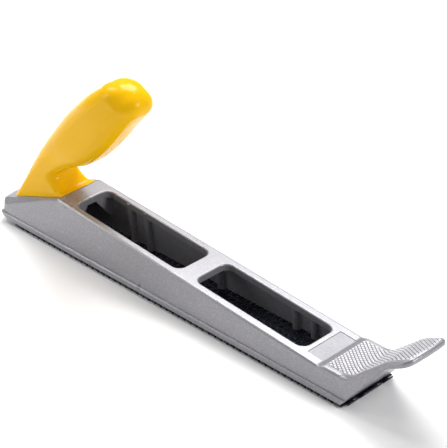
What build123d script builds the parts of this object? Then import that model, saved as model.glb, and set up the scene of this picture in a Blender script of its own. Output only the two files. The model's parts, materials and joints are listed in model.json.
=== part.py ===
"""Convertible rasp plane: a cast body, a perforated blade under it and a handle on a ramp.

The handle turns half a turn about the ramp's normal, so the tool works as a plane or as a file.
Millimetres, +X towards the nose, +Z up. Lengths along the tool are counted from the ridge, where
the ramp meets the flat top, and export_piece moves them to the middle of the tool's length.
"""

import os
from math import atan, cos, degrees, pi, radians, sin, tan

from build123d import *

# Whole tool
RIDGE_FROM_MIDDLE = -99.125     # the ridge, counted from the middle of the tool's length
DRAFT = 5.64                    # the side walls lean in by this many degrees
WALL_RISE = 50.0

# Body casting, outside
BASE_HALF_WIDTH = 18.95         # at the casting's bottom face
BODY_BOTTOM = 2.3               # the tooth tips are at zero
HEEL_END = -51.5
NOSE_END = 250.5
NOSE_BOW = 1.2                  # the nose's front edge bows out by this much in its middle
HEEL_BOW = 5.0
RIDGE_HEIGHT = 30.3
RAMP_SLOPE = radians(20.95)
TOP_FALL = 0.073                # the flat top falls towards the nose by this much a millimetre
NOSE_SLOPE = radians(52.5)
NOSE_FOOT = 214.3               # where the sloping nose face starts, at NOSE_FOOT_HEIGHT
NOSE_FOOT_HEIGHT = 4.9
RIM_PROUD = 0.75                # bead along the bottom edge
RIM_HEIGHT = 3.1
EDGE_ROUND = 1.5
UNDER_ROUND = 0.8
RIDGE_ROUND = 2.0
STEP_ROUND = 5.0
HEEL_LIFT_START = -36.0         # behind this the heel's underside curves up
HEEL_LIFT_RADIUS = 20.0
HEEL_BOSS_HALF_WIDTH = 5.6      # the tension screw's boss stays full height in the middle
FACET_DROP = 3.6                # the ramp's side facets widen from nothing at the ridge to
FACET_INSET = 3.2               # this much down the wall and in along the ramp at FACET_REAR
FACET_REAR = -45.0

# Thumb rest
STEP_START = 194.6
PAD_START = 197.6
PAD_HEIGHT = 17.3
SCOOP_START = 213.5
CREST = (235.0, 36.4)
PADDLE_TIP = (256.0, 47.6)      # the top line runs on past the bowed front edge
PADDLE_THICK = 3.3
SCOOP_ROUND = 13.0
CREST_ROUND = 8.0

# Body casting, inside
WALL = 2.5
TOP_THICK = 3.7
RAMP_THICK = 4.0
HEEL_THICK = 8.0
WINDOW_HALF_WIDTH = 12.05
WINDOW_ROUND = 5.0
WINDOW_RIM_ROUND = 0.9
REAR_WINDOW = (10.7, 91.6)
FRONT_WINDOW = (103.5, 180.3)
POST_MIDDLE = 95.5              # half-round posts stand at the middle and in two pairs about it
POST_OFFSETS = (-68.0, -55.0, 0.0, 55.0, 68.0)
POST_RADIUS = 2.4

# Label
LABEL = (183.6, 194.3)
LABEL_HALF_WIDTH = 12.4
LABEL_DEPTH = 0.5
LABEL_THICK = 0.3
LABEL_GAP = 0.25

# Blade
BLADE_TOP = 1.4
BLADE_THICK = 0.7
BLADE_HALF_WIDTH = 19.3
BLADE_REAR = -34.0
BLADE_FRONT = 212.6
TOOTH_PITCH = 4.5
TOOTH_SLANT = radians(25.0)
TAB_TOP = 6.6
TAB_GAP_HALF = 4.2
CURL_LENGTH = 5.2
CURL_HALF_WIDTH = 16.0
CURL_SLOT = (7.4, 10.6)

# Handle
SEAT = (-41.0, 0.0)             # the handle's foot on the ramp, in x
SEAT_GAP = 0.15
FOOT_HALF_WIDTH = 13.0

# Handle bolt, M6, with its nut and washers
BOLT_RADIUS = 3.0
BOLT_PITCH = 1.0
BOLT_HEAD_FLATS = 10.0
BOLT_HEAD_HEIGHT = 4.0
BOLT_HOLE = 3.3
NUT_FLATS = 10.0
NUT_HEIGHT = 5.0
NUT_RISE = 5.0                  # nut's lower face above the ramp
WASHER_RADIUS = 6.0
FLAT_WASHER_THICK = 1.2
SPRING_WASHER_RADIUS = 5.5
SPRING_WASHER_THICK = 1.5
STACK_GAP = 0.1

# Blade tension screw, M4, and its shoe
TENSION_HEIGHT = 5.9
TENSION_RADIUS = 2.0
TENSION_PITCH = 0.8
TENSION_TURNS = 4
TENSION_HEAD_RADIUS = 3.0
TENSION_HEAD_HEIGHT = 2.6
TENSION_WASHER_THICK = 0.5
POCKET_RADIUS = 3.35
POCKET_DEPTH = 3.9
RUNNING_FIT = 0.05
SHOE_HALF_WIDTH = 13.2
SHOE_REAR = -42.6
SHOE_FRONT = -30.6
SHOE_BOTTOM = 2.4
SHOE_TOP = 8.7
TRAVEL = TENSION_PITCH * TENSION_TURNS
PLAY = 0.3

RAMP_NORMAL = Vector(-sin(RAMP_SLOPE), 0, cos(RAMP_SLOPE))
RAMP_ALONG = Vector(cos(RAMP_SLOPE), 0, sin(RAMP_SLOPE))
PIVOT_X = (SEAT[0] + SEAT[1]) / 2
WIDE = 2 * BASE_HALF_WIDTH + 10


def top_at(x):
    """Height of the flat top."""
    return RIDGE_HEIGHT - TOP_FALL * x


def ramp_at(x):
    """Height of the ramp."""
    return RIDGE_HEIGHT + tan(RAMP_SLOPE) * x


def nose_at(z, inset=0.0):
    """Place along the tool of the sloping nose face, or of a face inset behind it."""
    return NOSE_FOOT + (z - NOSE_FOOT_HEIGHT) / tan(NOSE_SLOPE) - inset / sin(NOSE_SLOPE)


def ramp_frame(rise=0.0):
    """Plane on the ramp at the handle's pivot, its z along the ramp's normal."""
    foot = Vector(PIVOT_X, 0, ramp_at(PIVOT_X)) + RAMP_NORMAL * rise
    return Plane(origin=foot, x_dir=RAMP_ALONG, z_dir=RAMP_NORMAL)


def side_shape(points, rounds=()):
    """Face in the middle plane from (x, z) points, with some corners rounded."""
    face = make_face(Polyline([(x, 0, z) for x, z in points], close=True))
    for (x, z), radius in rounds:
        corner = face.vertices().sort_by_distance((x, 0, z))[0]
        face = fillet(corner, radius)
    return face


def across(face, half_width):
    """A side shape thickened to both sides of the middle plane."""
    return extrude(face, amount=half_width, dir=(0, 1, 0), both=True)


def box_between(low, high):
    """Box from its lowest to its highest corner."""
    size = [b - a for a, b in zip(low, high)]
    return Pos(*low) * Box(*size, align=(Align.MIN, Align.MIN, Align.MIN))


def plan_shape(grow=0.0):
    """The body's outline from above at the bottom face, with a bowed heel and nose."""
    half = BASE_HALF_WIDTH + grow
    heel = HEEL_END - grow
    heel_corner = heel + HEEL_BOW
    nose_corner = NOSE_END - NOSE_BOW
    bow = ThreePointArc((heel_corner, half), (heel, 0), (heel_corner, -half))
    right = Line((heel_corner, -half), (nose_corner, -half))
    nose = ThreePointArc((nose_corner, -half), (NOSE_END, 0), (nose_corner, half))
    left = Line((nose_corner, half), (heel_corner, half))
    outline = make_face([bow, right, nose, left])
    outline = fillet(outline.vertices().group_by(Axis.X)[0], 7.0)
    return fillet(outline.vertices().group_by(Axis.X)[-1], 5.0)


def leaning_walls(grow=0.0):
    """Solid inside the four leaning walls, far taller than the tool's body."""
    lean_in = WALL_RISE * tan(radians(DRAFT))
    low = Pos(0, 0, BODY_BOTTOM) * plan_shape(grow)
    high = Pos(0, 0, BODY_BOTTOM + WALL_RISE) * plan_shape(grow - lean_in)
    below = Pos(0, 0, BODY_BOTTOM - WALL_RISE / 10) * plan_shape(grow + lean_in / 10)
    return loft([low, high], ruled=True) + loft([below, low], ruled=True)


def outer_side():
    """Side view of the casting: heel, ramp, flat top, scoop, paddle and sloping nose."""
    crest_x, crest_z = CREST
    tip_x, tip_z = PADDLE_TIP
    paddle_slope = atan((tip_z - crest_z) / (tip_x - crest_x))
    under_tip = (tip_x + PADDLE_THICK * sin(paddle_slope), tip_z - PADDLE_THICK * cos(paddle_slope))
    run = (crest_z - PADDLE_THICK / cos(paddle_slope) - NOSE_FOOT_HEIGHT) + NOSE_FOOT * tan(NOSE_SLOPE)
    meet_x = (run - crest_x * tan(paddle_slope)) / (tan(NOSE_SLOPE) - tan(paddle_slope))
    meet_z = NOSE_FOOT_HEIGHT + (meet_x - NOSE_FOOT) * tan(NOSE_SLOPE)
    points = [
        (HEEL_END - 5, BODY_BOTTOM),
        (HEEL_END - 5, ramp_at(HEEL_END - 5)),
        (0, RIDGE_HEIGHT),
        (STEP_START, top_at(STEP_START)),
        (PAD_START, PAD_HEIGHT),
        (SCOOP_START, PAD_HEIGHT),
        CREST,
        PADDLE_TIP,
        under_tip,
        (meet_x, meet_z),
        (nose_at(BODY_BOTTOM), BODY_BOTTOM),
    ]
    rounds = [
        ((0, RIDGE_HEIGHT), RIDGE_ROUND),
        ((STEP_START, top_at(STEP_START)), STEP_ROUND),
        ((PAD_START, PAD_HEIGHT), STEP_ROUND),
        ((SCOOP_START, PAD_HEIGHT), SCOOP_ROUND),
        (CREST, CREST_ROUND),
        ((meet_x, meet_z), 7.0),
    ]
    return side_shape(points, rounds)


def inner_side():
    """Side view of the hollow inside the casting."""
    ramp_drop = RAMP_THICK / cos(RAMP_SLOPE)
    rear = HEEL_END + HEEL_THICK
    ridge_x = TOP_THICK * tan(RAMP_SLOPE / 2)
    pad_under = PAD_HEIGHT - TOP_THICK
    points = [
        (rear, 0),
        (rear, ramp_at(rear) - ramp_drop),
        (ridge_x, RIDGE_HEIGHT - ramp_drop + tan(RAMP_SLOPE) * ridge_x),
        (LABEL[0] - 4, top_at(LABEL[0] - 4) - TOP_THICK),
        (LABEL[1], pad_under - 1.6),
        (nose_at(pad_under - 1.6, WALL), pad_under - 1.6),
        (nose_at(0, WALL), 0),
    ]
    return side_shape(points)


def posts():
    """Half-round posts on both walls, reaching down to the blade they hold flat."""
    made = []
    for offset in POST_OFFSETS:
        x = POST_MIDDLE + offset
        height = top_at(x) - TOP_THICK / 2 - BLADE_TOP
        for side in (-1, 1):
            lean = Rot(side * DRAFT, 0, 0)
            foot = Pos(x, side * (BASE_HALF_WIDTH - WALL), BLADE_TOP)
            upright = Cylinder(POST_RADIUS, height + 1, align=(Align.CENTER, Align.CENTER, Align.MIN))
            made.append(foot * lean * upright)
    low_cut = box_between((-100, -30, -10), (300, 30, BLADE_TOP))
    return [post - low_cut for post in made]


def gussets():
    """Webs at the rear end of the rear window, one in each corner."""
    front = REAR_WINDOW[0]
    top = top_at(front) - 1
    made = []
    for side in (-1, 1):
        points = [(3.5, top - 3.8), (3.5, top), (17.5, top), (17.5, 12.0), (13.5, 12.0)]
        web = make_face(Polyline([(front, side * y, z) for y, z in points], close=True))
        made.append(extrude(web, amount=3.2, dir=(-1, 0, 0)))
    return made


def window_cutter(span):
    """Rounded window through the flat top."""
    length = span[1] - span[0]
    outline = RectangleRounded(length, 2 * WINDOW_HALF_WIDTH, WINDOW_ROUND)
    return extrude(Pos((span[0] + span[1]) / 2, 0, 8) * outline, amount=40)


def window_rim(body, span):
    """Edges where a window meets the flat top."""
    edges = []
    for edge in body.edges():
        box = edge.bounding_box()
        inside = span[0] - 0.1 < box.min.X and box.max.X < span[1] + 0.1
        if inside and max(abs(box.min.Y), box.max.Y) < WINDOW_HALF_WIDTH + 0.1:
            if edge.center().Z > top_at(edge.center().X) - 0.5:
                edges.append(edge)
    return edges


def body_casting():
    """The die-cast body, open below for the blade."""
    shell = across(outer_side(), WIDE / 2) & leaning_walls()
    shell = fillet(border_edges(shell, 0.3, 2.0), EDGE_ROUND)
    shell = fillet(border_edges(shell, -0.99, -0.3), UNDER_ROUND)
    rim = extrude(Pos(0, 0, BODY_BOTTOM) * plan_shape(RIM_PROUD), amount=RIM_HEIGHT)
    rim = rim & across(rim_side(), WIDE / 2)
    rim = fillet(rim.faces().sort_by(Axis.Z)[-1].outer_wire().edges(), RIM_PROUD * 0.9)
    hollow = across(inner_side(), WIDE / 2) & leaning_walls(-WALL)
    body = (shell + rim) - hollow
    for window in (REAR_WINDOW, FRONT_WINDOW):
        body -= window_cutter(window)
        body = fillet(window_rim(body, window), WINDOW_RIM_ROUND)
    for piece in posts() + gussets():
        body += piece & (shell + box_between((0, -18, BLADE_TOP), (200, 18, BODY_BOTTOM + 0.5)))
    body -= heel_lift()
    for side in (-1, 1):
        body -= ramp_facet(side)
    body -= label_recess()
    body += box_between((200.5, -14.5, BLADE_TOP), (nose_at(BODY_BOTTOM) - 1.2, 14.5, BODY_BOTTOM + 1.5))
    body -= ramp_hole()
    body -= tension_holes()
    return body


def heel_lift():
    """What the heel's rounded underside leaves out, on both sides of the screw's boss."""
    steep = radians(55)
    start = (HEEL_LIFT_START, 0, BODY_BOTTOM)
    end_x = HEEL_LIFT_START - HEEL_LIFT_RADIUS * sin(steep)
    end_z = BODY_BOTTOM + HEEL_LIFT_RADIUS * (1 - cos(steep))
    middle_x = HEEL_LIFT_START - HEEL_LIFT_RADIUS * sin(steep / 2)
    middle_z = BODY_BOTTOM + HEEL_LIFT_RADIUS * (1 - cos(steep / 2))
    curve = ThreePointArc(start, (middle_x, 0, middle_z), (end_x, 0, end_z))
    end = (end_x, 0, end_z)
    below = Polyline([end, (end_x - 5, 0, end_z), (end_x - 5, 0, 0), (HEEL_LIFT_START, 0, 0), start])
    cut = across(make_face([curve, below]), WIDE / 2)
    return cut - box_between((-100, -HEEL_BOSS_HALF_WIDTH, -1), (0, HEEL_BOSS_HALF_WIDTH, 20))


def ramp_facet(side):
    """What a flat facet along one side of the ramp leaves out."""
    def wall_at(z):
        return BASE_HALF_WIDTH - (z - BODY_BOTTOM) * tan(radians(DRAFT))

    ridge = Vector(0, side * wall_at(RIDGE_HEIGHT), RIDGE_HEIGHT)
    high = ramp_at(FACET_REAR)
    low = Vector(FACET_REAR, side * wall_at(high - FACET_DROP), high - FACET_DROP)
    top = Vector(FACET_REAR, side * (wall_at(high) - FACET_INSET), high)
    along = (low - ridge).normalized()
    outward = along.cross(top - ridge) * side
    facet = Plane(origin=ridge, x_dir=along, z_dir=outward)
    return facet * Box(300, 60, 20, align=(Align.CENTER, Align.CENTER, Align.MIN))


def border_edges(solid, lowest, highest):
    """Outline of the faces whose normal's height lies between two values."""
    faces = [face for face in solid.faces() if lowest < face.normal_at().Z < highest]
    edges = [edge for face in faces for edge in face.edges()]
    return [edge for edge in edges if sum(edge.is_same(other) for other in edges) == 1]


def rim_side():
    """Side limits of the rim: it ends in the sloping nose face."""
    high = BODY_BOTTOM + RIM_HEIGHT + 1
    return side_shape([
        (HEEL_END - 10, 0),
        (HEEL_END - 10, high),
        (nose_at(high), high),
        (nose_at(0), 0),
    ])


def label_recess():
    """Shallow pocket for the label plate, parallel to the flat top."""
    return label_block(0, LABEL_DEPTH, 3.0)


def label_plate():
    """Thin blank plate in its pocket."""
    return label_block(LABEL_GAP, LABEL_DEPTH, -(LABEL_DEPTH - LABEL_THICK))


def label_block(gap, depth, above):
    """Slab on the flat top between the label's ends, from depth below it to above it."""
    low, high = LABEL[0] + gap, LABEL[1] - gap
    face = side_shape([
        (low, top_at(low) - depth),
        (low, top_at(low) + above),
        (high, top_at(high) + above),
        (high, top_at(high) - depth),
    ])
    return across(face, LABEL_HALF_WIDTH - gap)


def ramp_hole():
    """Clearance hole for the handle's bolt."""
    return ramp_frame() * Cylinder(BOLT_HOLE, 4 * RAMP_THICK)


def along_x(radius, low, high):
    """Cylinder on the tension screw's axis."""
    return Pos((low + high) / 2, 0, TENSION_HEIGHT) * Rot(0, 90, 0) * Cylinder(radius, high - low)


def tension_holes():
    """Pocket for the tension screw's head in the heel, and the bore through it."""
    seat = HEEL_END + POCKET_DEPTH
    pocket = along_x(POCKET_RADIUS, HEEL_END - 5, seat)
    bore = along_x(TENSION_RADIUS + RUNNING_FIT, HEEL_END - 5, HEEL_END + HEEL_THICK + 1)
    return pocket + bore


def perforated_blade():
    """Blade: toothed strip, rear tab for the shoe and front end curled up against the nose."""
    length = BLADE_FRONT - BLADE_REAR
    low = BLADE_TOP - BLADE_THICK
    teeth = int(length / TOOTH_PITCH) + 12
    start = BLADE_REAR - 6 * TOOTH_PITCH
    points = [(start, BLADE_TOP)]
    for i in range(teeth):
        x = start + i * TOOTH_PITCH
        points += [(x, low), (x + 0.72 * TOOTH_PITCH, 0)]
    points += [(start + teeth * TOOTH_PITCH, low), (start + teeth * TOOTH_PITCH, BLADE_TOP)]
    slant = Vector(sin(TOOTH_SLANT), cos(TOOTH_SLANT), 0)
    ridged = extrude(side_shape(points), amount=1.2 * BLADE_HALF_WIDTH, dir=slant, both=True)
    strip = ridged & box_between((BLADE_REAR, -BLADE_HALF_WIDTH, -1), (BLADE_FRONT, BLADE_HALF_WIDTH, 2))
    tab = box_between((BLADE_REAR, -15, low), (BLADE_REAR + BLADE_THICK, 15, TAB_TOP))
    gap_low = (BLADE_REAR - 1, -TAB_GAP_HALF, BLADE_TOP)
    tab -= box_between(gap_low, (BLADE_REAR + 1, TAB_GAP_HALF, TAB_TOP + 1))
    return strip + tab + curled_end()


def curled_end():
    """Front end of the blade, turned up along the nose, with two slots."""
    low = BLADE_TOP - BLADE_THICK
    rise = CURL_LENGTH * sin(NOSE_SLOPE)
    run = CURL_LENGTH * cos(NOSE_SLOPE)
    thick_x = BLADE_THICK * sin(NOSE_SLOPE)
    thick_z = BLADE_THICK * cos(NOSE_SLOPE)
    bend = nose_at(BLADE_TOP) + 0.9
    face = side_shape(
        [
            (BLADE_FRONT - 3, BLADE_TOP),
            (bend, BLADE_TOP),
            (bend + run, BLADE_TOP + rise),
            (bend + run + thick_x, BLADE_TOP + rise - thick_z),
            (bend + thick_x + 0.1, low),
            (BLADE_FRONT - 3, low),
        ],
        [((bend + thick_x + 0.1, low), 1.2), ((bend, BLADE_TOP), 0.6)],
    )
    curl = across(face, CURL_HALF_WIDTH)
    for side in (-1, 1):
        near, far = sorted((side * CURL_SLOT[0], side * CURL_SLOT[1]))
        curl -= box_between((BLADE_FRONT + 1.2, near, -1), (BLADE_FRONT + 12, far, 12))
    return curl


def tension_shoe():
    """Block that hooks over the blade's rear tab and runs on the tension screw."""
    block = box_between((SHOE_REAR, -SHOE_HALF_WIDTH, SHOE_BOTTOM), (SHOE_FRONT, SHOE_HALF_WIDTH, SHOE_TOP))
    block = fillet(block.edges().filter_by(Axis.Z), 1.0)
    lip = BLADE_REAR + BLADE_THICK + PLAY
    back = BLADE_REAR - PLAY - TRAVEL
    slot = box_between((back, -20, SHOE_BOTTOM - 1), (lip, 20, TAB_TOP + 0.5))
    thread = along_x(TENSION_RADIUS + RUNNING_FIT, SHOE_REAR - 1, SHOE_FRONT + 1)
    return block - slot - thread


def tension_screw():
    """Slotted screw in the heel, with a plain shank where its thread runs."""
    seat = HEEL_END + POCKET_DEPTH - TENSION_WASHER_THICK - STACK_GAP
    head = along_x(TENSION_HEAD_RADIUS, seat - TENSION_HEAD_HEIGHT, seat)
    head = fillet(head.edges().filter_by(GeomType.CIRCLE).sort_by(Axis.X)[0], 0.5)
    slot = box_between((seat - 5, -0.5, 0), (seat - TENSION_HEAD_HEIGHT + 1.1, 0.5, 12))
    shank = along_x(TENSION_RADIUS, seat - 0.5, SHOE_FRONT + TRAVEL + 1)
    shank = chamfer(shank.edges().sort_by(Axis.X)[-1], 0.5)
    return head - slot + shank


def tension_washer():
    """Washer under the tension screw's head."""
    seat = HEEL_END + POCKET_DEPTH
    ring = along_x(TENSION_HEAD_RADIUS + 0.1, seat - TENSION_WASHER_THICK, seat)
    return ring - along_x(TENSION_RADIUS + 0.3, seat - 5, seat + 5)


def ring(outer, inner, low, high):
    """Ring about the ramp's normal, between two distances from the ramp."""
    disc = Cylinder(outer, high - low) - Cylinder(inner, 3 * (high - low))
    return ramp_frame((low + high) / 2) * disc


def hexagon(flats, low, high):
    """Hexagonal prism about the ramp's normal."""
    outline = RegularPolygon(flats / 2, 6, major_radius=False)
    return extrude(ramp_frame(low) * outline, amount=high - low)


def handle_flat_washer():
    """Flat washer against the ramp's underside."""
    top = -RAMP_THICK - STACK_GAP
    return ring(WASHER_RADIUS, BOLT_HOLE + 0.1, top - FLAT_WASHER_THICK, top)


def handle_spring_washer():
    """Split spring washer, shown flat as it is under the tight bolt."""
    top = -RAMP_THICK - STACK_GAP - FLAT_WASHER_THICK
    washer = ring(SPRING_WASHER_RADIUS, BOLT_HOLE + 0.1, top - SPRING_WASHER_THICK, top)
    split = ramp_frame(top) * Pos(0, 5, 0) * Rot(15, 0, 30) * Box(0.8, 8, 8)
    return washer - split


def handle_bolt():
    """Hexagon-head bolt from under the ramp into the handle's nut."""
    seat = -RAMP_THICK - 2 * STACK_GAP - FLAT_WASHER_THICK - SPRING_WASHER_THICK
    head = hexagon(BOLT_HEAD_FLATS, seat - BOLT_HEAD_HEIGHT, seat)
    end = NUT_RISE + NUT_HEIGHT + 2
    shank = ramp_frame((seat - 1 + end) / 2) * Cylinder(BOLT_RADIUS, end - seat + 1)
    return head + shank


def handle_nut():
    """Hexagon nut held in the handle's foot."""
    nut = hexagon(NUT_FLATS, NUT_RISE, NUT_RISE + NUT_HEIGHT)
    bore = ramp_frame(NUT_RISE) * Cylinder(BOLT_RADIUS + RUNNING_FIT, 4 * NUT_HEIGHT)
    return nut - bore


# Handle sections, each from its front point to its rear point in the middle plane,
# with its half width and the rounding of its corners.
HANDLE_SECTIONS = [
    ((-4.5, 31.1), (-39.5, 19.1), 11.6, 3.2),
    ((-10.1, 37.8), (-34.2, 29.7), 11.3, 6.0),
    ((-3.3, 43.6), (-28.6, 40.7), 11.8, 8.5),
    ((5.8, 48.6), (-20.0, 54.5), 12.2, 9.5),
    ((16.9, 54.8), (-9.3, 68.4), 13.5, 10.5),
    ((31.1, 68.9), (2.5, 82.8), 13.7, 11.0),
    ((43.1, 83.4), (16.3, 96.6), 13.7, 11.0),
    ((52.5, 94.5), (28.5, 106.5), 12.5, 9.8),
    ((55.2, 100.3), (35.5, 110.1), 10.1, 8.0),
    ((54.0, 104.8), (41.8, 110.9), 6.3, 4.9),
]


def handle_section(front, rear, half_width, rounding):
    """Rounded rectangle across the handle between two points of the middle plane."""
    front = Vector(front[0], 0, front[1])
    rear = Vector(rear[0], 0, rear[1])
    across_dir = (front - rear).normalized()
    plane = Plane(origin=(front + rear) / 2, x_dir=across_dir, z_dir=across_dir.cross(Vector(0, 1, 0)))
    return plane * RectangleRounded((front - rear).length, 2 * half_width, rounding)


def handle_grip():
    """Moulded handle, lofted from its foot on the ramp to its rounded end."""
    low, high = SEAT
    lift = RAMP_NORMAL * SEAT_GAP
    front = (high + lift.X, ramp_at(high) + lift.Z)
    rear = (low + lift.X, ramp_at(low) + lift.Z)
    sections = [handle_section(front, rear, FOOT_HALF_WIDTH, 2.5)]
    sections += [handle_section(*row) for row in HANDLE_SECTIONS]
    grip = loft(sections)
    grip = fillet(grip.faces().sort_by(Axis.X)[-1].edges(), 2.5)
    pocket = hexagon(NUT_FLATS, NUT_RISE, NUT_RISE + NUT_HEIGHT)
    bore = ramp_frame(0) * Cylinder(BOLT_HOLE, 2 * (NUT_RISE + NUT_HEIGHT + 4))
    return grip - pocket - bore


def export_piece(name, solid):
    """Write one piece, moved so that the tool's middle is at the origin."""
    placed = Pos(RIDGE_FROM_MIDDLE, 0, 0) * solid
    export_step(placed, f"parts/{name}.step")
    return placed.bounding_box()


def main():
    os.makedirs("parts", exist_ok=True)
    boxes = []
    for make in (
        body_casting,
        perforated_blade,
        label_plate,
        handle_grip,
        handle_nut,
        handle_bolt,
        handle_flat_washer,
        handle_spring_washer,
        tension_shoe,
        tension_screw,
        tension_washer,
    ):
        boxes.append(export_piece(make.__name__, make()))
    low = [min(tuple(box.min)[i] for box in boxes) for i in range(3)]
    high = [max(tuple(box.max)[i] for box in boxes) for i in range(3)]
    print("lowest corner", [round(v, 3) for v in low])
    print("highest corner", [round(v, 3) for v in high])


main()
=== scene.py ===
"""Convertible rasp plane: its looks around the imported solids.

The cast body keeps its solid. The handle, the toothed blade and the knurling are built here, and
every piece gets its own finish. Sizes are in metres, apart from the handle's stations.
"""

import json
from math import cos, pi, radians, sin, sqrt, tan

import bmesh
import bpy
import numpy as np
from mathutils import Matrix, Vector
from mathutils.bvhtree import BVHTree


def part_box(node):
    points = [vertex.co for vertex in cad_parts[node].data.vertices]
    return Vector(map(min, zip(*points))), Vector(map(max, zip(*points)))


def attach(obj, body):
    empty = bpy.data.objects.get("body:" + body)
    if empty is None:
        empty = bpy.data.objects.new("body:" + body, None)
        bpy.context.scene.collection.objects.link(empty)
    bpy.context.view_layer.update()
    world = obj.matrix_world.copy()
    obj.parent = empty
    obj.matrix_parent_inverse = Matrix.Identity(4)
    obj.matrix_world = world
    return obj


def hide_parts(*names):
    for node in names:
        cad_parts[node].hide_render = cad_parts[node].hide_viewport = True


bl_info = {
    "name": "Convertible rasp plane",
    "version": (1, 0, 0),
    "blender": (4, 5, 0),
    "location": "3D View > Sidebar > Rasp plane",
    "description": "Builds the handle, blade, knurling and finishes of a rasp plane",
    "category": "Object",
}

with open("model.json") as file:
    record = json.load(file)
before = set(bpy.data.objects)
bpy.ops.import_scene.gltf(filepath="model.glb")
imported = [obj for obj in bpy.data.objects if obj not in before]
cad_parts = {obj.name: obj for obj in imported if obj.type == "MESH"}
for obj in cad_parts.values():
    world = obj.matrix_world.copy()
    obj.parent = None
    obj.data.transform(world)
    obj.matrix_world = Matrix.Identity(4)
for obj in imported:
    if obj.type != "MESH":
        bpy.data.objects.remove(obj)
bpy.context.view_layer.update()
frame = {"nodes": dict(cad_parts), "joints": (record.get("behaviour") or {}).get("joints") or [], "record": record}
MM = 0.001

# Places that the solids give
BODY_LOW, BODY_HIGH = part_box("body_casting")
BLADE_LOW, BLADE_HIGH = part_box("perforated_blade")
TURN = next(joint for joint in frame["joints"] if joint["name"] == "handle_turn")
PIVOT = Vector(TURN["pos_m"])
HALF_FOOT = 20.5 * MM
RIDGE_X = PIVOT.x + HALF_FOOT
BASE_HALF_WIDTH = 18.95 * MM    # of the casting, at its bottom face
DRAFT = radians(5.64)           # its side walls lean in by this
NOSE_SLOPE = radians(52.5)


# ---------------------------------------------------------------- settings


class HandleSettings(bpy.types.PropertyGroup):
    colour: bpy.props.FloatVectorProperty(
        name="Plastic colour", description="Colour of the moulded handle",
        subtype="COLOR", size=3, min=0, max=1, default=(0.90, 0.50, 0.004))
    flute_depth: bpy.props.FloatProperty(
        name="Flute depth", description="Depth of the fine flutes under the fingers",
        default=0.45 * MM, unit="LENGTH")
    flute_pitch: bpy.props.FloatProperty(
        name="Flute pitch", description="Distance between two flutes",
        default=3.6 * MM, unit="LENGTH")


class BladeSettings(bpy.types.PropertyGroup):
    pitch: bpy.props.FloatProperty(
        name="Tooth pitch", description="Distance between teeth along the blade",
        default=4.5 * MM, unit="LENGTH")
    slant: bpy.props.FloatProperty(
        name="Row slant", description="Angle of the tooth rows to the blade's width",
        default=radians(25), subtype="ANGLE")
    rows: bpy.props.IntProperty(
        name="Rows", description="Rows of teeth across the blade", default=10)
    thickness: bpy.props.FloatProperty(
        name="Sheet thickness", description="Thickness of the blade's steel",
        default=0.7 * MM, unit="LENGTH")
    colour: bpy.props.FloatVectorProperty(
        name="Steel colour", description="Colour of the blackened steel",
        subtype="COLOR", size=3, min=0, max=1, default=(0.010, 0.010, 0.014))


class CastingSettings(bpy.types.PropertyGroup):
    colour: bpy.props.FloatVectorProperty(
        name="Paint colour", description="Colour of the silver paint",
        subtype="COLOR", size=3, min=0, max=1, default=(0.285, 0.28, 0.30))
    knurl_pitch: bpy.props.FloatProperty(
        name="Knurl pitch", description="Distance between the grooves of the knurling",
        default=1.72 * MM, unit="LENGTH")
    knurl_depth: bpy.props.FloatProperty(
        name="Knurl depth", description="Height of the knurled diamonds",
        default=0.55 * MM, unit="LENGTH")
    knurl_angle: bpy.props.FloatProperty(
        name="Knurl angle", description="Angle of the grooves to the tool's length",
        default=radians(35), subtype="ANGLE")


class StageSettings(bpy.types.PropertyGroup):
    azimuth: bpy.props.FloatProperty(
        name="Azimuth", description="Direction the camera looks from",
        default=radians(44.65), subtype="ANGLE")
    elevation: bpy.props.FloatProperty(
        name="Elevation", description="Height of the camera's view",
        default=radians(31.01), subtype="ANGLE")
    distance: bpy.props.FloatProperty(
        name="Distance", description="From the camera to its aim",
        default=0.9908, unit="LENGTH")
    lens: bpy.props.FloatProperty(
        name="Lens", description="Focal length in millimetres", default=155.4)
    aim: bpy.props.FloatVectorProperty(
        name="Aim", description="Point that the camera looks at",
        subtype="TRANSLATION", size=3, default=(0.01363, 0.0, 0.05533))
    floor: bpy.props.FloatVectorProperty(
        name="Floor colour", description="Colour of the plain floor",
        subtype="COLOR", size=3, min=0, max=1, default=(0.93, 0.93, 0.93))


SETTINGS = {
    "rasp_handle": HandleSettings,
    "rasp_blade": BladeSettings,
    "rasp_casting": CastingSettings,
    "rasp_stage": StageSettings,
}


# ---------------------------------------------------------------- mesh helpers


def new_piece(name, points, faces, sharp=radians(35)):
    """Object from points and faces, smooth except across edges sharper than an angle."""
    mesh = bpy.data.meshes.new(name)
    mesh.from_pydata([tuple(p) for p in points], [], faces)
    bm = bmesh.new()
    bm.from_mesh(mesh)
    bmesh.ops.remove_doubles(bm, verts=bm.verts, dist=1e-7)
    bmesh.ops.dissolve_degenerate(bm, edges=bm.edges, dist=1e-7)
    bmesh.ops.recalc_face_normals(bm, faces=bm.faces)
    bm.to_mesh(mesh)
    bm.free()
    mesh.shade_smooth()
    mesh.set_sharp_from_angle(angle=sharp)
    piece = bpy.data.objects.new(name, mesh)
    bpy.context.scene.collection.objects.link(piece)
    return piece


def fit(piece, body, slot, material, *replaced):
    """The piece's material, the body it moves with and the solids it stands for."""
    piece.data.materials.clear()
    piece.data.materials.append(material)
    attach(piece, body)
    if replaced:
        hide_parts(*replaced)
    return piece


def grid_faces(rows, columns, closed=False, start=0):
    """Quads over a grid of points, row by row; closed joins each row's end to its start."""
    faces = []
    span = columns if closed else columns - 1
    for r in range(rows - 1):
        for c in range(span):
            a = start + r * columns + c
            b = start + r * columns + (c + 1) % columns
            faces.append((a, b, b + columns, a + columns))
    return faces


def smooth_step(x):
    """Zero to one with level ends."""
    x = np.clip(x, 0.0, 1.0)
    return x * x * (3 - 2 * x)


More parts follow.
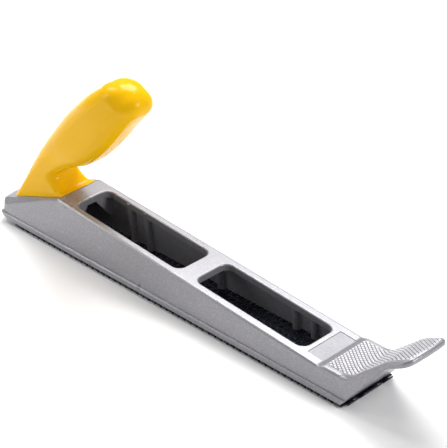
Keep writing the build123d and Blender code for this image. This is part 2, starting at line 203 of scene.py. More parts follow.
# ---------------------------------------------------------------- shader helpers


def new_material(name):
    """Material with only an output and a Principled shader."""
    material = bpy.data.materials.new(name)
    material.use_nodes = True
    tree = material.node_tree
    tree.nodes.clear()
    shader = tree.nodes.new("ShaderNodeBsdfPrincipled")
    output = tree.nodes.new("ShaderNodeOutputMaterial")
    tree.links.new(shader.outputs["BSDF"], output.inputs["Surface"])
    return material, tree, shader


def new_group(name, inputs, outputs):
    """Empty node group with named float or colour sockets."""
    group = bpy.data.node_groups.new(name, "ShaderNodeTree")
    for label, default in inputs:
        kind = "NodeSocketColor" if isinstance(default, tuple) else "NodeSocketFloat"
        socket = group.interface.new_socket(label, in_out="INPUT", socket_type=kind)
        socket.default_value = default
    for label, kind in outputs:
        group.interface.new_socket(label, in_out="OUTPUT", socket_type=kind)
    entry = group.nodes.new("NodeGroupInput")
    exit_node = group.nodes.new("NodeGroupOutput")
    return group, entry, exit_node


def place_group(tree, group, **values):
    """The group as a node, with its inputs set by name."""
    node = tree.nodes.new("ShaderNodeGroup")
    node.node_tree = group
    for label, value in values.items():
        node.inputs[label.replace("_", " ").capitalize()].default_value = value
    return node


def math_node(tree, operation, first, second=None):
    """Math node whose inputs are sockets or numbers."""
    node = tree.nodes.new("ShaderNodeMath")
    node.operation = operation
    for i, value in enumerate((first, second)):
        if value is None:
            continue
        if isinstance(value, (int, float)):
            node.inputs[i].default_value = value
        else:
            tree.links.new(value, node.inputs[i])
    return node.outputs[0]


def mix_colours(tree, mask, first, second):
    """Colour between two colours or sockets by a mask socket."""
    node = tree.nodes.new("ShaderNodeMix")
    node.data_type = "RGBA"
    tree.links.new(mask, node.inputs["Factor"])
    for socket, value in ((node.inputs[6], first), (node.inputs[7], second)):
        if isinstance(value, (tuple, list)):
            socket.default_value = value
        else:
            tree.links.new(value, socket)
    return node.outputs[2]


def noise_at(tree, coords, scale, detail=3.0, rough=0.5):
    """Noise texture's value over given coordinates."""
    node = tree.nodes.new("ShaderNodeTexNoise")
    node.inputs["Detail"].default_value = detail
    node.inputs["Roughness"].default_value = rough
    if isinstance(scale, (int, float)):
        node.inputs["Scale"].default_value = scale
    else:
        tree.links.new(scale, node.inputs["Scale"])
    tree.links.new(coords, node.inputs["Vector"])
    return node.outputs[0]


def object_coords(tree):
    """Coordinates fixed to the piece."""
    return tree.nodes.new("ShaderNodeTexCoord").outputs["Object"]


def ramp_between(tree, value, low, high):
    """Value stretched so that low gives zero and high gives one, kept between them."""
    node = tree.nodes.new("ShaderNodeMapRange")
    node.inputs["From Min"].default_value = low
    node.inputs["From Max"].default_value = high
    tree.links.new(value, node.inputs["Value"])
    return node.outputs["Result"]


def speckle_group():
    """Fine speckle over a broad mottle, for sprayed and moulded surfaces."""
    group, entry, exit_node = new_group(
        "Speckle and mottle",
        [("Base colour", (0.5, 0.5, 0.5, 1.0)), ("Fleck colour", (0.8, 0.8, 0.8, 1.0)),
         ("Fleck scale", 4000.0), ("Fleck amount", 0.3), ("Mottle scale", 60.0)],
        [("Colour", "NodeSocketColor"), ("Height", "NodeSocketFloat"),
         ("Roughness", "NodeSocketFloat")])
    coords = object_coords(group)
    fine = noise_at(group, coords, entry.outputs["Fleck scale"], 2.0)
    broad = noise_at(group, coords, entry.outputs["Mottle scale"], 4.0)
    flecks = ramp_between(group, fine, 0.45, 0.75)
    flecks = math_node(group, "MULTIPLY", flecks, entry.outputs["Fleck amount"])
    coloured = mix_colours(group, flecks, entry.outputs["Base colour"], entry.outputs["Fleck colour"])
    group.links.new(coloured, exit_node.inputs["Colour"])
    group.links.new(fine, exit_node.inputs["Height"])
    group.links.new(broad, exit_node.inputs["Roughness"])
    return group


def worn_edge_group():
    """Mask that is one on the sharp outer edges of a piece, broken up by noise."""
    group, entry, exit_node = new_group(
        "Worn edges", [("Amount", 0.5), ("Break scale", 400.0)], [("Mask", "NodeSocketFloat")])
    geometry = group.nodes.new("ShaderNodeNewGeometry")
    edge = ramp_between(group, geometry.outputs["Pointiness"], 0.52, 0.60)
    broken = noise_at(group, object_coords(group), entry.outputs["Break scale"], 4.0)
    broken = ramp_between(group, broken, 0.35, 0.65)
    mask = math_node(group, "MULTIPLY", edge, broken)
    mask = math_node(group, "MULTIPLY", mask, entry.outputs["Amount"])
    group.links.new(mask, exit_node.inputs["Mask"])
    return group


def crest_group():
    """Masks of the crests and the grooves of a relief."""
    group, entry, exit_node = new_group(
        "Crests and grooves", [("Groove level", 0.44), ("Crest level", 0.54)],
        [("Groove", "NodeSocketFloat"), ("Crest", "NodeSocketFloat")])
    bend = group.nodes.new("ShaderNodeNewGeometry").outputs["Pointiness"]
    for label, level in (("Groove", "Groove level"), ("Crest", "Crest level")):
        past = math_node(group, "SUBTRACT", bend, 0.5)
        reach = math_node(group, "SUBTRACT", entry.outputs[level], 0.5)
        share = math_node(group, "DIVIDE", past, reach)
        clamped = ramp_between(group, share, 0.0, 1.0)
        group.links.new(clamped, exit_node.inputs[label])
    return group


def brushed_group():
    """Fine lines along one direction, for rolled and ground steel."""
    group, entry, exit_node = new_group(
        "Rolled lines", [("Line scale", 900.0), ("Stretch", 0.04)],
        [("Height", "NodeSocketFloat"), ("Roughness", "NodeSocketFloat")])
    split = group.nodes.new("ShaderNodeSeparateXYZ")
    group.links.new(object_coords(group), split.inputs[0])
    joined = group.nodes.new("ShaderNodeCombineXYZ")
    stretched = math_node(group, "MULTIPLY", split.outputs["X"], entry.outputs["Stretch"])
    group.links.new(stretched, joined.inputs["X"])
    group.links.new(split.outputs["Y"], joined.inputs["Y"])
    group.links.new(split.outputs["Z"], joined.inputs["Z"])
    lines = noise_at(group, joined.outputs[0], entry.outputs["Line scale"], 5.0, 0.6)
    group.links.new(lines, exit_node.inputs["Height"])
    group.links.new(lines, exit_node.inputs["Roughness"])
    return group


def shared_group(make):
    """A shader group, made the first time it is asked for."""
    made = SHARED.get(make.__name__)
    if made is None:
        made = make()
        SHARED[make.__name__] = made
    return made


SHARED = {}


def bump(tree, shader, height, strength, distance):
    """Bump from a height into the shader's normal."""
    node = tree.nodes.new("ShaderNodeBump")
    node.inputs["Strength"].default_value = strength
    node.inputs["Distance"].default_value = distance
    tree.links.new(height, node.inputs["Height"])
    tree.links.new(node.outputs["Normal"], shader.inputs["Normal"])


def roughness_between(tree, shader, value, low, high):
    """Roughness that follows a noise between two limits."""
    node = tree.nodes.new("ShaderNodeMapRange")
    node.inputs["From Min"].default_value = 0.3
    node.inputs["From Max"].default_value = 0.7
    node.inputs["To Min"].default_value = low
    node.inputs["To Max"].default_value = high
    tree.links.new(value, node.inputs["Value"])
    tree.links.new(node.outputs["Result"], shader.inputs["Roughness"])


def opaque(colour):
    """Colour with a full alpha."""
    return (*colour, 1.0)


# ---------------------------------------------------------------- materials


def silver_paint():
    """Satin silver paint with fine metal flakes on the casting."""
    settings = bpy.context.scene.rasp_casting
    material, tree, shader = new_material("silver_paint")
    colour = tuple(settings.colour)
    flake = tuple(min(1.0, 1.5 * c) for c in colour)
    speckle = place_group(
        tree, shared_group(speckle_group), base_colour=opaque(colour), fleck_colour=opaque(flake),
        fleck_scale=1100.0, fleck_amount=0.6, mottle_scale=45.0)
    tree.links.new(speckle.outputs["Colour"], shader.inputs["Base Color"])
    roughness_between(tree, shader, speckle.outputs["Roughness"], 0.27, 0.34)
    bump(tree, shader, speckle.outputs["Height"], 0.25, 0.02 * MM)
    shader.inputs["Metallic"].default_value = 0.35
    return material


def knurled_paint():
    """The same paint on the knurling, with a painted highlight on the crests and painted shade in the grooves."""
    settings = bpy.context.scene.rasp_casting
    material, tree, shader = new_material("knurled_paint")
    colour = tuple(settings.colour)
    # bright colour for the paint's flecks, also used as the painted highlight on the knurl's crests
    fleck_and_painted_highlight = tuple(min(1.0, 3.0 * c) for c in colour)
    painted_groove_shade = tuple(0.5 * c for c in colour)
    speckle = place_group(
        tree, shared_group(speckle_group), base_colour=opaque(colour), fleck_colour=opaque(fleck_and_painted_highlight),
        fleck_scale=1300.0, fleck_amount=0.6, mottle_scale=45.0)
    shape = place_group(tree, shared_group(crest_group), groove_level=0.44, crest_level=0.54)
    # painted shade in the grooves, then a painted highlight on the crests
    shaded = mix_colours(tree, shape.outputs["Groove"], speckle.outputs["Colour"], opaque(painted_groove_shade))
    painted_highlight_and_shade = mix_colours(tree, shape.outputs["Crest"], shaded, opaque(fleck_and_painted_highlight))
    tree.links.new(painted_highlight_and_shade, shader.inputs["Base Color"])
    roughness_between(tree, shader, speckle.outputs["Roughness"], 0.30, 0.38)
    bump(tree, shader, speckle.outputs["Height"], 0.2, 0.02 * MM)
    shader.inputs["Metallic"].default_value = 0.35
    return material


def label_finish():
    """Plain satin foil with a fine woven print."""
    material, tree, shader = new_material("label_foil")
    speckle = place_group(
        tree, shared_group(speckle_group), base_colour=(0.31, 0.305, 0.335, 1.0),
        fleck_colour=(0.50, 0.50, 0.54, 1.0), fleck_scale=1800.0, fleck_amount=0.6, mottle_scale=90.0)
    tree.links.new(speckle.outputs["Colour"], shader.inputs["Base Color"])
    roughness_between(tree, shader, speckle.outputs["Roughness"], 0.38, 0.48)
    bump(tree, shader, speckle.outputs["Height"], 0.2, 0.02 * MM)
    shader.inputs["Metallic"].default_value = 0.1
    return material


def yellow_plastic():
    """Glossy moulded plastic with a faint flow mottle."""
    settings = bpy.context.scene.rasp_handle
    material, tree, shader = new_material("yellow_plastic")
    colour = tuple(settings.colour)
    deep = tuple(0.93 * c for c in colour)
    speckle = place_group(
        tree, shared_group(speckle_group), base_colour=opaque(colour), fleck_colour=opaque(deep),
        fleck_scale=900.0, fleck_amount=0.4, mottle_scale=70.0)
    tree.links.new(speckle.outputs["Colour"], shader.inputs["Base Color"])
    roughness_between(tree, shader, speckle.outputs["Roughness"], 0.13, 0.18)
    bump(tree, shader, speckle.outputs["Height"], 0.08, 0.02 * MM)
    shader.inputs["Specular IOR Level"].default_value = 0.14
    shader.inputs["Subsurface Weight"].default_value = 0.05
    shader.inputs["Subsurface Radius"].default_value = (0.004, 0.002, 0.0006)
    shader.inputs["Subsurface Scale"].default_value = 1.0
    return material


def blade_steel():
    """Blackened steel with a painted bluish sheen along its rolled lines, worn bright on the tooth edges."""
    settings = bpy.context.scene.rasp_blade
    material, tree, shader = new_material("blade_steel")
    rolled = place_group(tree, shared_group(brushed_group), line_scale=1500.0, stretch=0.05)
    worn = place_group(tree, shared_group(worn_edge_group), amount=0.10, break_scale=1200.0)
    # painted sheen: a brighter bluish colour laid along the steel's rolled lines
    painted_sheen = (0.060, 0.068, 0.098, 1.0)
    dark = mix_colours(tree, rolled.outputs["Height"], opaque(settings.colour), painted_sheen)
    colour = mix_colours(tree, worn.outputs["Mask"], dark, (0.30, 0.30, 0.33, 1.0))
    tree.links.new(colour, shader.inputs["Base Color"])
    roughness_between(tree, shader, rolled.outputs["Roughness"], 0.24, 0.36)
    bump(tree, shader, rolled.outputs["Height"], 0.15, 0.03 * MM)
    shader.inputs["Metallic"].default_value = 0.75
    return material


def plated_steel(name, colour, rough_low, rough_high):
    """Turned steel with a thin plating, worn on its edges."""
    material, tree, shader = new_material(name)
    rolled = place_group(tree, shared_group(brushed_group), line_scale=2200.0, stretch=0.2)
    worn = place_group(tree, shared_group(worn_edge_group), amount=0.6, break_scale=900.0)
    bright = tuple(min(1.0, c * 1.35) for c in colour)
    mixed = mix_colours(tree, worn.outputs["Mask"], opaque(colour), opaque(bright))
    tree.links.new(mixed, shader.inputs["Base Color"])
    roughness_between(tree, shader, rolled.outputs["Roughness"], rough_low, rough_high)
    bump(tree, shader, rolled.outputs["Height"], 0.2, 0.02 * MM)
    shader.inputs["Metallic"].default_value = 1.0
    return material


# ---------------------------------------------------------------- handle


# Stations up the handle: front point and rear point in the middle plane, counted from the ridge
# and the tooth tips, then the half width and the rounding of the corners, all in millimetres.
HANDLE_STATIONS = [
    ((0.0, 30.45), (-41.0, 14.76), 13.0, 2.2),
    ((-4.5, 31.3), (-39.5, 19.1), 11.6, 3.2),
    ((-10.1, 37.8), (-34.2, 29.7), 11.3, 6.0),
    ((-3.3, 43.6), (-28.6, 40.7), 11.8, 8.5),
    ((5.8, 48.6), (-20.0, 54.5), 12.2, 9.5),
    ((16.9, 54.8), (-9.3, 68.4), 13.5, 10.5),
    ((31.1, 68.9), (2.5, 82.8), 13.7, 11.0),
    ((43.1, 83.4), (16.3, 96.6), 13.7, 11.0),
    ((52.5, 94.5), (28.5, 106.5), 12.4, 9.8),
]
END_RISE = 11.6
STATION_STEPS = 12
RING_POINTS = 96
DOME_STEPS = 18


def spline_rows(rows, steps):
    """Rows of numbers joined by a smooth curve through all of them."""
    rows = np.array(rows, float)
    padded = np.vstack([2 * rows[0] - rows[1], rows, 2 * rows[-1] - rows[-2]])
    out = []
    for i in range(len(rows) - 1):
        a, b, c, d = padded[i:i + 4]
        for k in range(steps):
            t = k / steps
            out.append(0.5 * (2 * b + (c - a) * t + (2 * a - 5 * b + 4 * c - d) * t ** 2
                              + (3 * b - a - 3 * c + d) * t ** 3))
    out.append(rows[-1])
    return np.array(out)


def ring_outline(half_deep, half_wide, rounding, count):
    """Evenly spaced points round a rounded rectangle, with their outward directions."""
    rounding = min(rounding, half_deep - 1e-3, half_wide - 1e-3)
    flat_deep = 2 * (half_deep - rounding)
    flat_wide = 2 * (half_wide - rounding)
    arc = rounding * pi / 2
    lengths = [flat_wide, arc, flat_deep, arc] * 2
    points = []
    normals = []
    corners = [(1, 1), (-1, 1), (-1, -1), (1, -1)]
    total = sum(lengths)
    for k in range(count):
        walk = total * k / count
        side = 0
        while walk > lengths[side]:
            walk -= lengths[side]
            side += 1
        quarter = side // 2
        turn = quarter * pi / 2
        along = walk / lengths[side]
        if side % 2 == 0:
            face, flat = (half_deep, flat_wide) if quarter % 2 == 0 else (half_wide, flat_deep)
            local = (face, (along - 0.5) * flat)
            normal = (1.0, 0.0)
        else:
            face, side_face = (half_deep, half_wide) if quarter % 2 == 0 else (half_wide, half_deep)
            angle = along * pi / 2
            local = (face - rounding + rounding * cos(angle), side_face - rounding + rounding * sin(angle))
            normal = (cos(angle), sin(angle))
        spin = np.array([[cos(turn), -sin(turn)], [sin(turn), cos(turn)]])
        points.append(spin @ local)
        normals.append(spin @ normal)
    return np.array(points), np.array(normals)


def flute_depth_at(points, half_deep, progress, settings):
    """How far the flutes cut in at each ring point: only on the finger side of the grip."""
    depth = settings.flute_depth / MM
    pitch = settings.flute_pitch / MM
    fade_in = smooth_step((progress - 0.42) / 0.10)
    fade_out = smooth_step((0.93 - progress) / 0.10)
    side = smooth_step((points[:, 0] / half_deep - 0.55) / 0.25)
    inside = smooth_step((2.5 * pitch - np.abs(points[:, 1])) / (0.4 * pitch))
    wave = 0.5 - 0.5 * np.cos(2 * pi * (points[:, 1] / pitch + 0.5))
    return depth * fade_in * fade_out * side * inside * wave ** 2


def handle_rings(settings):
    """Rings of points up the handle, then over its rounded end."""
    stations = [(*front, *rear, wide, rounding) for front, rear, wide, rounding in HANDLE_STATIONS]
    rows = spline_rows(stations, STATION_STEPS)
    rings = []
    for i, (fx, fz, rx, rz, wide, rounding) in enumerate(rows):
        centre = np.array([(fx + rx) / 2, 0, (fz + rz) / 2])
        deep = np.array([fx - rx, 0, fz - rz])
        half_deep = np.linalg.norm(deep) / 2
        deep = deep / (2 * half_deep)
        points, normals = ring_outline(half_deep, wide, rounding, RING_POINTS)
        points = points - normals * flute_depth_at(points, half_deep, i / len(rows), settings)[:, None]
        rings.append(centre + points[:, :1] * deep + points[:, 1:] * np.array([0, 1, 0]))
    last = rings[-1]
    step_up = rings[-1].mean(0) - rings[-2].mean(0)
    rise = step_up / np.linalg.norm(step_up) * END_RISE
    centre = last.mean(0)
    for k in range(1, DOME_STEPS + 1):
        turn = 0.5 * pi * k / (DOME_STEPS + 0.3)
        rings.append(centre + (last - centre) * cos(turn) + rise * sin(turn))
    return rings


def build_handle():
    """Moulded handle from its rings, closed at its foot and its end."""
    settings = bpy.context.scene.rasp_handle
    rings = handle_rings(settings)
    shift = np.array([RIDGE_X / MM, 0, 0])
    points = [(p + shift) * MM for ring in rings for p in ring]
    faces = grid_faces(len(rings), RING_POINTS, closed=True)
    faces.append(tuple(range(RING_POINTS))[::-1])
    start = (len(rings) - 1) * RING_POINTS
    faces.append(tuple(range(start, start + RING_POINTS)))
    return new_piece("handle_moulding", points, faces, sharp=radians(40))


# ---------------------------------------------------------------- blade


CELL_ROWS = 8
PLAIN_END = 1.5 * MM
TOOTH_START, TOOTH_EDGE, HOLE_END = 0.10, 0.50, 0.80
TOOTH_REACH = 0.375
TOOTH_BOW = 0.10
SHEET_TOP = 1.4 * MM
SHEET_BOTTOM = 0.7 * MM
BLADE_FRONT = RIDGE_X + 212.6 * MM
CURL_OVERLAP = 3 * MM
CURL_BEND_START = 0.9 * MM
CURL_RADIUS = 1.6 * MM
CURL_HALF_WIDTH = 15.6 * MM
CURL_SLOT = (7.4 * MM, 10.6 * MM)
OUTER_TONGUE, MIDDLE_TONGUE = 5.6 * MM, 5.0 * MM
TONGUE_ROUND = 1.3 * MM


def cell_shape():
    """Columns and rows of the points of one tooth's cell, as shares of its length and width."""
    columns = np.array([0.0, TOOTH_START, 0.20, 0.32, 0.42, TOOTH_EDGE, 0.60, 0.70, HOLE_END, 0.90, 1.0])
    rows = np.linspace(0.0, 1.0, CELL_ROWS + 1)
    return columns, rows


def cell_drop(u, v):
    """How far the sheet is pressed down in a tooth, from zero to one."""
    across = np.clip(1 - ((v - 0.5) / TOOTH_REACH) ** 2, 0, 1)
    along = smooth_step((u - TOOTH_START) / (TOOTH_EDGE - TOOTH_START)) * (u <= TOOTH_EDGE + 1e-6)
    return along * np.sqrt(across)


def blade_sheet(settings):
    """Toothed sheet: a cell for each tooth, pressed down and open in front of its edge."""
    pitch = settings.pitch
    rows_wide = (BLADE_HIGH.y - BLADE_LOW.y) / settings.rows
    lean = tan(settings.slant)
    shear = lean * BLADE_HIGH.y
    columns, rows = cell_shape()
    rear = BLADE_LOW.x
    first = int(np.floor(-shear / pitch)) - 1
    last = int(np.ceil((BLADE_FRONT - rear + shear) / pitch)) + 1
    points = []
    faces = []
    for j in range(settings.rows + 1):
        here = rows[rows >= 0.5] if j == 0 else rows[rows <= 0.5] if j == settings.rows else rows
        y_start = BLADE_LOW.y + (j - 0.5) * rows_wide
        for i in range(first, last):
            start = rear + i * pitch
            low_x = start + lean * (y_start if j else BLADE_LOW.y)
            high_x = start + pitch + lean * (y_start + rows_wide)
            if high_x <= rear or low_x >= BLADE_FRONT:
                continue
            plain = low_x < rear + PLAIN_END or high_x > BLADE_FRONT - PLAIN_END
            base = len(points)
            for v in here:
                y = y_start + v * rows_wide
                for u in columns:
                    bend = 0 if u in (0.0, 1.0) else TOOTH_BOW * (abs(v - 0.5) / TOOTH_REACH) ** 2
                    x = start + (u - bend * max(0.0, 1 - abs(u - 0.55) / 0.45)) * pitch + lean * y
                    drop = 0 if plain else (SHEET_BOTTOM - settings.thickness * 0.2) * cell_drop(u, v)
                    points.append((min(max(x, rear), BLADE_FRONT), y, SHEET_TOP - drop))
            wide = len(columns)
            for r in range(len(here) - 1):
                middle = (here[r] + here[r + 1]) / 2
                for c in range(wide - 1):
                    centre = (columns[c] + columns[c + 1]) / 2
                    in_hole = TOOTH_EDGE < centre < HOLE_END and abs(middle - 0.5) < TOOTH_REACH
                    if plain or not in_hole:
                        a = base + r * wide + c
                        faces.append((a, a + 1, a + 1 + wide, a + wide))
    return points, faces


def thicken(piece, thickness):
    """Gives a sheet its thickness below its surface and applies it."""
    layer = piece.modifiers.new("thickness", "SOLIDIFY")
    layer.thickness = thickness
    layer.offset = -1.0
    solid = bpy.data.meshes.new_from_object(piece.evaluated_get(bpy.context.evaluated_depsgraph_get()))
    piece.modifiers.clear()
    piece.data = solid


def curl_strip(low_y, high_y, length):
    """One tongue of the blade's front end, bent up along the casting's nose."""
    bend = BLADE_FRONT + CURL_BEND_START
    line = [(BLADE_FRONT - CURL_OVERLAP, 0.0), (bend, 0.0)]
    for k in range(1, 9):
        angle = NOSE_SLOPE * k / 8
        line.append((bend + CURL_RADIUS * sin(angle), CURL_RADIUS * (1 - cos(angle))))
    bent_x, bent_z = line[-1]
    rest = length - CURL_RADIUS * NOSE_SLOPE
    for k in range(1, 7):
        line.append((bent_x + rest * k / 6 * cos(NOSE_SLOPE), bent_z + rest * k / 6 * sin(NOSE_SLOPE)))
    columns = 14
    points = []
    for i, (x, z) in enumerate(line):
        near_end = max(0.0, (i - 10) / (len(line) - 11))
        tuck = TONGUE_ROUND * (1 - sqrt(max(0.0, 1 - near_end ** 2)))
        for c in range(columns + 1):
            share = 2 * c / columns - 1
            half = (high_y - low_y) / 2 - tuck
            points.append((x, (low_y + high_y) / 2 + share * half, SHEET_BOTTOM + z))
    return points, grid_faces(len(line), columns + 1)


def build_blade():
    """Toothed sheet with its thickness."""
    settings = bpy.context.scene.rasp_blade
    points, faces = blade_sheet(settings)
    sheet = new_piece("toothed_blade", points, faces, sharp=radians(30))
    make_normals_face_up(sheet)
    thicken(sheet, settings.thickness)
    sheet.data.shade_smooth()
    sheet.data.set_sharp_from_angle(angle=radians(55))
    return sheet


def make_normals_face_up(piece):
    """Turns a sheet over if most of it faces down."""
    total = sum(polygon.normal.z * polygon.area for polygon in piece.data.polygons)
    if total < 0:
        piece.data.flip_normals()


def build_curl():
    """The three tongues of the blade's front end, bent up against the nose."""
    settings = bpy.context.scene.rasp_blade
    near, far = CURL_SLOT
    tongues = (
        (-CURL_HALF_WIDTH, -far, OUTER_TONGUE),
        (-near, near, MIDDLE_TONGUE),
        (far, CURL_HALF_WIDTH, OUTER_TONGUE),
    )
    points, faces = [], []
    for low_y, high_y, length in tongues:
        new_points, new_faces = curl_strip(low_y, high_y, length)
        faces += [tuple(i + len(points) for i in face) for face in new_faces]
        points += new_points
    piece = new_piece("blade_front_tongues", points, faces, sharp=radians(40))
    make_normals_face_up(piece)
    thicken(piece, -settings.thickness)
    piece.data.shade_smooth()
    piece.data.set_sharp_from_angle(angle=radians(40))
    return piece


# ---------------------------------------------------------------- knurling


KNURL_STEP = 0.24 * MM
PAD_BORDER = 2.9 * MM
PAD_BEGIN = RIDGE_X + 198.6 * MM
FRONT_MARGIN = 1.7 * MM
PAD_LENGTH = 16 * MM
CROSS_ON_PAD, CROSS_ON_PADDLE = 0.65, 0.30
FRONT_BOW = 1.2 * MM


def body_tree():
    """Search tree over the casting's faces."""
    mesh = frame["nodes"]["body_casting"].data
    points = [v.co for v in mesh.vertices]
    faces = [tuple(p.vertices) for p in mesh.polygons]
    return BVHTree.FromPolygons(points, faces)


def pad_profile():
    """Points along the middle of the thumb rest's top, with their distance walked."""
    tree = body_tree()
    xs = np.arange(PAD_BEGIN - 1 * MM, BODY_HIGH.x - 0.6 * MM, KNURL_STEP / 2)
    zs = np.array([tree.ray_cast(Vector((x, 0.0, 0.2)), Vector((0, 0, -1)))[0].z for x in xs])
    walked = np.concatenate([[0], np.cumsum(np.hypot(np.diff(xs), np.diff(zs)))])
    return xs, zs, walked


def half_width_at(z):
    """Half width of the casting between its leaning walls at a height."""
    return BASE_HALF_WIDTH - tan(DRAFT) * (z - BODY_LOW.z)


def knurl_height(walked, y, settings):
    """Height of the knurling: deep grooves one way, crossed by shallower ones."""
    reach = walked * sin(settings.knurl_angle)
    side = y * cos(settings.knurl_angle)
    past_pad = smooth_step((walked - PAD_LENGTH) / PAD_LENGTH)
    crossing = CROSS_ON_PAD + (CROSS_ON_PADDLE - CROSS_ON_PAD) * past_pad
    height = 1.0
    for offset, share in ((reach + side, 1.0), (reach - side, crossing)):
        phase = offset / settings.knurl_pitch
        ridge = np.minimum(1.0, 1.8 * (1 - np.abs(2 * (phase - np.floor(phase)) - 1)))
        height = min(height, 1 - share * (1 - ridge))
    return settings.knurl_depth * height


def build_knurl():
    """Raised knurling laid over the thumb rest's pad and paddle."""
    settings = bpy.context.scene.rasp_casting
    xs, zs, walked = pad_profile()
    slope = np.gradient(zs, xs)
    rows = int(walked[-1] / KNURL_STEP)
    columns = int(2 * half_width_at(0.018) / KNURL_STEP)
    ends_at = BODY_HIGH.x - FRONT_MARGIN
    points = []
    for r in range(rows + 1):
        for c in range(columns + 1):
            side = 2 * c / columns - 1
            target = PAD_BEGIN + (ends_at - FRONT_BOW * side ** 2 - PAD_BEGIN) * r / rows
            z = np.interp(target, xs, zs)
            s = np.interp(target, xs, walked)
            lean = np.interp(target, xs, slope)
            y = side * (half_width_at(z) - PAD_BORDER)
            rim = r in (0, rows) or c in (0, columns)
            rise = -0.15 * MM if rim else 0.02 * MM + knurl_height(s, y, settings)
            length = sqrt(1 + lean * lean)
            points.append((target - rise * lean / length, y, z + rise / length))
    faces = grid_faces(rows + 1, columns + 1)
    return new_piece("thumb_rest_knurling", points, faces, sharp=radians(80))


# ---------------------------------------------------------------- stage


def area_light(name, location, target, size, power, colour=(1, 1, 1)):
    """Soft square light aimed at a point."""
    light = bpy.data.lights.new(name, "AREA")
    light.shape = "RECTANGLE"
    light.size, light.size_y = size
    light.energy = power
    light.color = colour
    lamp = bpy.data.objects.new(name, light)
    lamp.location = location
    lamp.rotation_euler = (Vector(location) - Vector(target)).to_track_quat("Z", "Y").to_euler()
    bpy.context.scene.collection.objects.link(lamp)
    return lamp


def build_floor(settings):
    """Plain pale floor under the tooth tips."""
    half = 3.0
    drop = -0.1 * MM
    corners = [(-half, -half, drop), (half, -half, drop), (half, half, drop), (-half, half, drop)]
    floor = new_piece("studio_floor", corners, [(0, 1, 2, 3)])
    material, tree, shader = new_material("studio_paper")
    shader.inputs["Base Color"].default_value = opaque(settings.floor)
    shader.inputs["Roughness"].default_value = 0.9
    floor.data.materials.append(material)


def build_world():
    """Even white light from all round."""
    world = bpy.data.worlds.new("studio_world")
    world.use_nodes = True
    background = world.node_tree.nodes["Background"]
    background.inputs["Color"].default_value = (1, 1, 1, 1)
    background.inputs["Strength"].default_value = 0.27
    bpy.context.scene.world = world


def build_camera(settings):
    """Camera at the tool's side and nose, looking down on it."""
    back = Vector((sin(settings.azimuth) * cos(settings.elevation),
                   -cos(settings.azimuth) * cos(settings.elevation),
                   sin(settings.elevation)))
    data = bpy.data.cameras.new("studio_camera")
    data.lens = settings.lens
    camera = bpy.data.objects.new("studio_camera", data)
    camera.location = Vector(settings.aim) + back * settings.distance
    camera.rotation_euler = back.to_track_quat("Z", "Y").to_euler()
    bpy.context.scene.collection.objects.link(camera)
    bpy.context.scene.camera = camera


# ---------------------------------------------------------------- operators


class RASP_OT_casting(bpy.types.Operator):
    """Paint the cast body and lay the knurling on its thumb rest"""
    bl_idname = "rasp.casting"
    bl_label = "Casting"

    def execute(self, context):
        paint = silver_paint()
        body = frame["nodes"]["body_casting"]
        body.data.materials.clear()
        body.data.materials.append(paint)
        fit(build_knurl(), "body", "cast_paint", knurled_paint())
        label = frame["nodes"]["label_plate"]
        label.data.materials.clear()
        label.data.materials.append(label_finish())
        return {"FINISHED"}


class RASP_OT_blade(bpy.types.Operator):
    """Build the toothed blade"""
    bl_idname = "rasp.blade"
    bl_label = "Blade"

    def execute(self, context):
        steel = blade_steel()
        fit(build_blade(), "body", "blade_steel", steel, "perforated_blade")
        fit(build_curl(), "body", "blade_steel", steel)
        return {"FINISHED"}


class RASP_OT_handle(bpy.types.Operator):
    """Build the moulded handle"""
    bl_idname = "rasp.handle"
    bl_label = "Handle"

    def execute(self, context):
        fit(build_handle(), "handle", "handle_plastic", yellow_plastic(), "handle_grip")
        return {"FINISHED"}


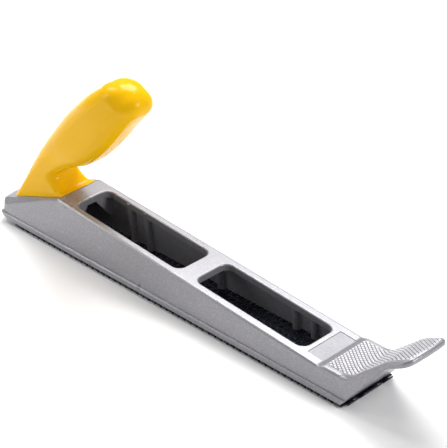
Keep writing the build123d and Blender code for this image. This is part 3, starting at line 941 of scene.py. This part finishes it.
class RASP_OT_fasteners(bpy.types.Operator):
    """Finish the bolt, nut, washers, screw and shoe"""
    bl_idname = "rasp.fasteners"
    bl_label = "Fasteners"

    def execute(self, context):
        zinc = plated_steel("zinc_plate", (0.62, 0.62, 0.60), 0.25, 0.38)
        dark = plated_steel("phosphate_steel", (0.16, 0.16, 0.17), 0.40, 0.55)
        for name, node in frame["nodes"].items():
            slot = next(s["material_slot"] for s in frame["record"]["subparts"] if s["node"] == name)
            finish = {"zinc_steel": zinc, "dark_steel": dark}.get(slot)
            if finish:
                node.data.materials.clear()
                node.data.materials.append(finish)
        return {"FINISHED"}


class RASP_OT_stage(bpy.types.Operator):
    """Set up the floor, the light and the camera"""
    bl_idname = "rasp.stage"
    bl_label = "Stage"

    def execute(self, context):
        settings = context.scene.rasp_stage
        build_floor(settings)
        build_world()
        build_camera(settings)
        area_light("top_light", (-0.38, 0.53, 0.98), (0, 0, 0.02), (0.62, 0.62), 12.6)
        area_light("left_light", (-0.62, -0.50, 0.38), (-0.10, 0, 0.04), (0.30, 0.45), 1.7)
        area_light("edge_light", (-0.78, -0.02, 0.92), (0, 0, 0.03), (0.30, 0.55), 4.2)
        area_light("nose_light", (1.0, 0.30, 0.62), (0.1, 0, 0.03), (0.45, 0.45), 7.0)
        context.scene.view_settings.view_transform = "Standard"
        return {"FINISHED"}


OPERATORS = (RASP_OT_stage, RASP_OT_casting, RASP_OT_blade, RASP_OT_handle, RASP_OT_fasteners)


class RASP_PT_panel(bpy.types.Panel):
    """Lists the builders of the rasp plane"""
    bl_label = "Rasp plane"
    bl_idname = "RASP_PT_panel"
    bl_space_type = "VIEW_3D"
    bl_region_type = "UI"
    bl_category = "Rasp plane"

    def draw(self, context):
        for name in SETTINGS:
            group = getattr(context.scene, name)
            for key in group.__annotations__:
                self.layout.prop(group, key)
        for operator in OPERATORS:
            self.layout.operator(operator.bl_idname)


def register():
    for settings in SETTINGS.values():
        bpy.utils.register_class(settings)
    for name, settings in SETTINGS.items():
        setattr(bpy.types.Scene, name, bpy.props.PointerProperty(type=settings))
    for cls in (*OPERATORS, RASP_PT_panel):
        bpy.utils.register_class(cls)


def unregister():
    for cls in (RASP_PT_panel, *reversed(OPERATORS)):
        bpy.utils.unregister_class(cls)
    for name, settings in SETTINGS.items():
        delattr(bpy.types.Scene, name)
        bpy.utils.unregister_class(settings)


def main():
    register()
    bpy.ops.rasp.stage()
    bpy.ops.rasp.casting()
    bpy.ops.rasp.blade()
    bpy.ops.rasp.handle()
    bpy.ops.rasp.fasteners()


if __name__ == "__main__":
    main()
